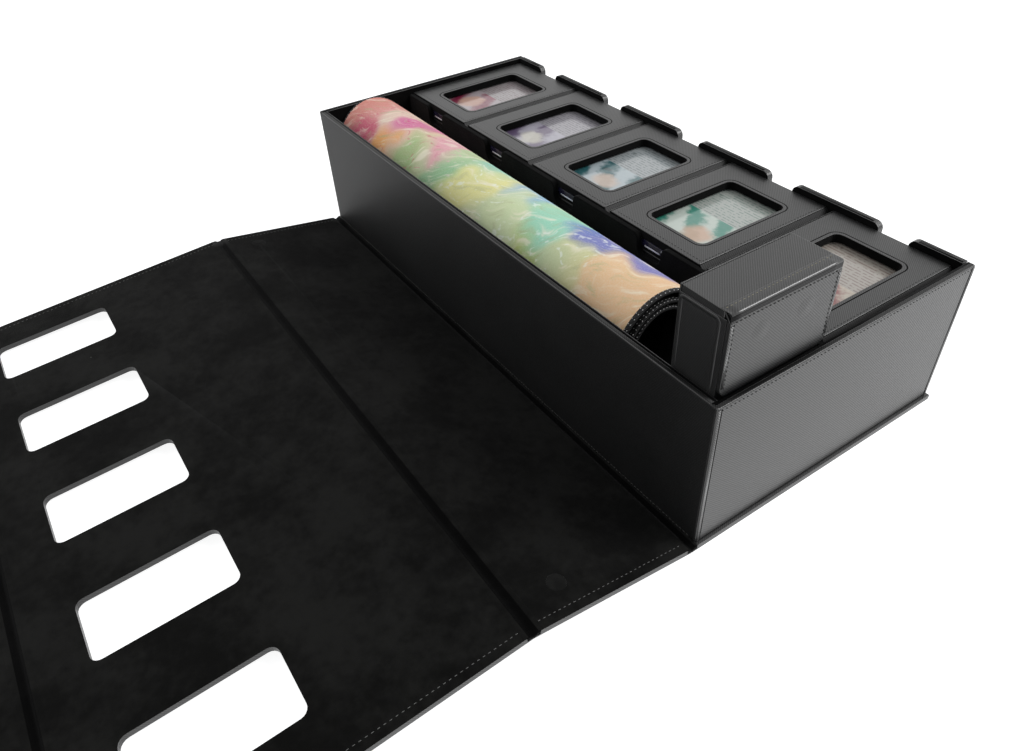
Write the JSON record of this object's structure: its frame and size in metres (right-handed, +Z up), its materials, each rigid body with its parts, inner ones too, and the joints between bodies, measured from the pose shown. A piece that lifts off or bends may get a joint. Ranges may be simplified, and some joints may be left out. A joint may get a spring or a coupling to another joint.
{
  "type": "card storage case",
  "caption": "Long open tray with a fold-over windowed cover, a row of lidded deck boxes behind a divider, a rolled mat and a raised accessory box in the front channel.",
  "frame": {"origin": "centre of the tray's underside, on the table", "axes": "+X along the tray towards the accessory box, +Z up, and the open cover lies on the table on the -Y side"},
  "size_m": [0.444, 0.6035, 0.1462],
  "materials": {
    "leatherette": "ribbed black-grey leatherette over board",
    "suede": "black microsuede nap over board",
    "clear_plastic": "clear glossy hard sleeve",
    "card": null,
    "mat_cloth": null,
    "magnet": "plain metal disc"
  },
  "bodies": {
    "tray": {"base_panel": "leatherette", "left_end_wall": "leatherette", "right_end_wall": "leatherette", "front_wall": "leatherette", "rear_wall": "leatherette", "divider_wall": "suede", "tray_floor": "suede", "front_wall_magnet_left": "magnet", "front_wall_magnet_right": "magnet", "rear_wall_magnet_left": "magnet", "rear_wall_magnet_right": "magnet"},
    "cover_front": {"cover_front_panel": "leatherette", "front_panel_magnet_left": "magnet", "front_panel_magnet_right": "magnet"},
    "cover_top": {"cover_top_panel": "leatherette"},
    "cover_rear": {"cover_rear_panel": "leatherette", "rear_panel_magnet_left": "magnet", "rear_panel_magnet_right": "magnet"},
    "deck_box_1": {"deck_box_1_body": "leatherette"},
    "deck_box_1_lid": {"deck_box_1_lid_frame": "leatherette", "deck_box_1_lid_back": "leatherette", "deck_box_1_card_sleeve": "clear_plastic", "deck_box_1_display_card": "card", "deck_box_1_flap": "leatherette"},
    "deck_box_2": {"deck_box_2_body": "leatherette"},
    "deck_box_2_lid": {"deck_box_2_lid_frame": "leatherette", "deck_box_2_lid_back": "leatherette", "deck_box_2_card_sleeve": "clear_plastic", "deck_box_2_display_card": "card", "deck_box_2_flap": "leatherette"},
    "deck_box_3": {"deck_box_3_body": "leatherette"},
    "deck_box_3_lid": {"deck_box_3_lid_frame": "leatherette", "deck_box_3_lid_back": "leatherette", "deck_box_3_card_sleeve": "clear_plastic", "deck_box_3_display_card": "card", "deck_box_3_flap": "leatherette"},
    "deck_box_4": {"deck_box_4_body": "leatherette"},
    "deck_box_4_lid": {"deck_box_4_lid_frame": "leatherette", "deck_box_4_lid_back": "leatherette", "deck_box_4_card_sleeve": "clear_plastic", "deck_box_4_display_card": "card", "deck_box_4_flap": "leatherette"},
    "deck_box_5": {"deck_box_5_body": "leatherette"},
    "deck_box_5_lid": {"deck_box_5_lid_frame": "leatherette", "deck_box_5_lid_back": "leatherette", "deck_box_5_card_sleeve": "clear_plastic", "deck_box_5_display_card": "card", "deck_box_5_flap": "leatherette"},
    "accessory_box": {"accessory_box_body": "leatherette", "accessory_body_magnet_front": "magnet", "accessory_body_magnet_rear": "magnet"},
    "accessory_lid": {"accessory_box_lid": "leatherette"},
    "accessory_flap": {"accessory_box_flap": "leatherette", "accessory_flap_magnet_front": "magnet", "accessory_flap_magnet_rear": "magnet"},
    "mat": {"rolled_mat": "mat_cloth"}
  },
  "joints": [
    {"name": "front_fold", "type": "hinge", "parent": "tray", "child": "cover_front", "pos_m": [0, -0.10255, 0], "axis": [1, 0, 0], "range_deg": [-81.88, 0]},
    {"name": "top_fold", "type": "hinge", "parent": "cover_front", "child": "cover_top", "pos_m": [0, -0.20422, 0.0145], "axis": [1, 0, 0], "range_deg": [-102.17, 0]},
    {"name": "rear_fold", "type": "hinge", "parent": "cover_top", "child": "cover_rear", "pos_m": [0, -0.40881, 0], "axis": [1, 0, 0], "range_deg": [-85.95, 0]},
    {"name": "deck_box_1_lift", "type": "slide", "parent": "tray", "child": "deck_box_1", "axis": [0, 0, 1], "range_m": [0, 0.1]},
    {"name": "deck_box_1_lid_hinge", "type": "hinge", "parent": "deck_box_1", "child": "deck_box_1_lid", "pos_m": [-0.2146, -0.01555, 0.0951], "axis": [0, -1, 0], "range_deg": [0, 100]},
    {"name": "deck_box_2_lift", "type": "slide", "parent": "tray", "child": "deck_box_2", "axis": [0, 0, 1], "range_m": [0, 0.1]},
    {"name": "deck_box_2_lid_hinge", "type": "hinge", "parent": "deck_box_2", "child": "deck_box_2_lid", "pos_m": [-0.1286, -0.01555, 0.0951], "axis": [0, -1, 0], "range_deg": [0, 100]},
    {"name": "deck_box_3_lift", "type": "slide", "parent": "tray", "child": "deck_box_3", "axis": [0, 0, 1], "range_m": [0, 0.1]},
    {"name": "deck_box_3_lid_hinge", "type": "hinge", "parent": "deck_box_3", "child": "deck_box_3_lid", "pos_m": [-0.0426, -0.01555, 0.0951], "axis": [0, -1, 0], "range_deg": [0, 100]},
    {"name": "deck_box_4_lift", "type": "slide", "parent": "tray", "child": "deck_box_4", "axis": [0, 0, 1], "range_m": [0, 0.1]},
    {"name": "deck_box_4_lid_hinge", "type": "hinge", "parent": "deck_box_4", "child": "deck_box_4_lid", "pos_m": [0.0434, -0.01555, 0.0951], "axis": [0, -1, 0], "range_deg": [0, 100]},
    {"name": "deck_box_5_lift", "type": "slide", "parent": "tray", "child": "deck_box_5", "axis": [0, 0, 1], "range_m": [0, 0.1]},
    {"name": "deck_box_5_lid_hinge", "type": "hinge", "parent": "deck_box_5", "child": "deck_box_5_lid", "pos_m": [0.1294, -0.01555, 0.0951], "axis": [0, -1, 0], "range_deg": [0, 100]},
    {"name": "accessory_box_lift", "type": "slide", "parent": "tray", "child": "accessory_box", "axis": [0, 0, 1], "range_m": [-0.0511, 0.06]},
    {"name": "accessory_box_lid_hinge", "type": "hinge", "parent": "accessory_box", "child": "accessory_lid", "pos_m": [0.1837, -0.09385, 0.1462], "axis": [0, -1, 0], "range_deg": [0, 105]},
    {"name": "accessory_box_flap_crease", "type": "hinge", "parent": "accessory_lid", "child": "accessory_flap", "pos_m": [0.2111, -0.09385, 0.1462], "axis": [0, -1, 0], "range_deg": [0, 90]},
    {"name": "mat_lift", "type": "slide", "parent": "tray", "child": "mat", "axis": [0, 0, 1], "range_m": [-0.0022, 0.1]}
  ]
}
